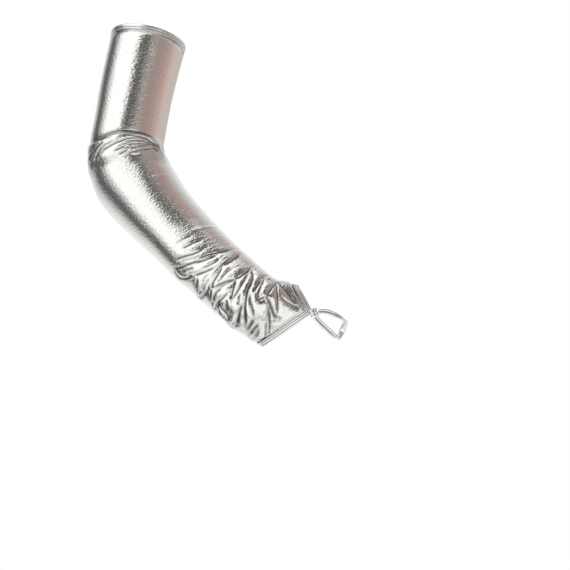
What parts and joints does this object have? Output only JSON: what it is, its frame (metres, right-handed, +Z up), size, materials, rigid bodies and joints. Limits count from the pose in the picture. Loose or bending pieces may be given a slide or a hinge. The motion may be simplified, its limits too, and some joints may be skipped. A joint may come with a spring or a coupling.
{
  "type": "fingerless evening mitten",
  "caption": "Long fingerless evening mitten in silver foil knit, held in the bent form of an arm, with a bound pointed hand edge and a finger loop.",
  "frame": {"origin": "centre of the arm opening, at the edge of the upper hem", "axes": "+Z up with the arm hanging, +X towards the hand, +Y towards the palm; the back of the hand faces -Y"},
  "size_m": [0.2699, 0.2022, 0.3391],
  "materials": {
    "foil_knit": "silver foil laid on stretch knit, smooth metallic gloss with a fine grain",
    "foil_hem": "silver foil knit turned in and stitched, soft metallic gloss",
    "foil_binding": "silver foil knit folded to a narrow tape and stitched along its edge"
  },
  "bodies": {
    "root": {"sleeve": "foil_knit", "upper_hem": "foil_hem", "hand_binding": "foil_binding", "crossing": "foil_binding", "finger_loop": "foil_binding"}
  },
  "joints": []
}
